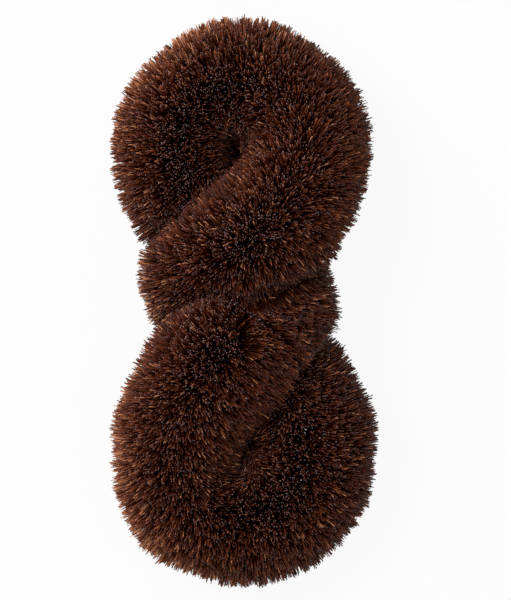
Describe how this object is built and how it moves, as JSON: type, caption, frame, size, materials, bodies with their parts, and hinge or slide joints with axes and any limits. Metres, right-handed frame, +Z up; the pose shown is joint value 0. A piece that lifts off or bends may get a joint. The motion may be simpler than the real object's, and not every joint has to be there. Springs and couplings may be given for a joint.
{
  "type": "palm fiber scrub brush",
  "caption": "Figure-eight scrub brush: a round brush of dark palm fibre on a twisted wire core, bent into a ring and given a full twist.",
  "frame": {"origin": "centre of the brush's outline seen from above, on the floor plane that the brush lies on", "axes": "+Y along the brush's length, towards the top of the picture; +X to the picture's right; +Z up off the floor, towards the picture's viewer"},
  "size_m": [0.0796, 0.1704, 0.0588],
  "materials": {
    "palm_fibre": "dark red-brown natural palm fibre, clipped stiff bristles with a slight gloss",
    "iron_wire": "dull galvanised iron wire"
  },
  "bodies": {
    "root": {"core_wire": "iron_wire", "lower_lobe_bristles_01": "palm_fibre", "lower_lobe_bristles_02": "palm_fibre", "lower_lobe_bristles_03": "palm_fibre", "lower_lobe_bristles_04": "palm_fibre", "lower_lobe_bristles_05": "palm_fibre", "lower_lobe_bristles_06": "palm_fibre", "lower_lobe_bristles_07": "palm_fibre", "upper_lobe_bristles_01": "palm_fibre", "upper_lobe_bristles_02": "palm_fibre", "upper_lobe_bristles_03": "palm_fibre", "upper_lobe_bristles_04": "palm_fibre", "upper_lobe_bristles_05": "palm_fibre", "upper_lobe_bristles_06": "palm_fibre", "waist_bristles_01": "palm_fibre", "waist_bristles_02": "palm_fibre", "waist_bristles_03": "palm_fibre", "waist_bristles_04": "palm_fibre", "waist_bristles_05": "palm_fibre", "waist_bristles_06": "palm_fibre", "waist_bristles_07": "palm_fibre", "waist_bristles_08": "palm_fibre", "waist_bristles_09": "palm_fibre"}
  },
  "joints": []
}
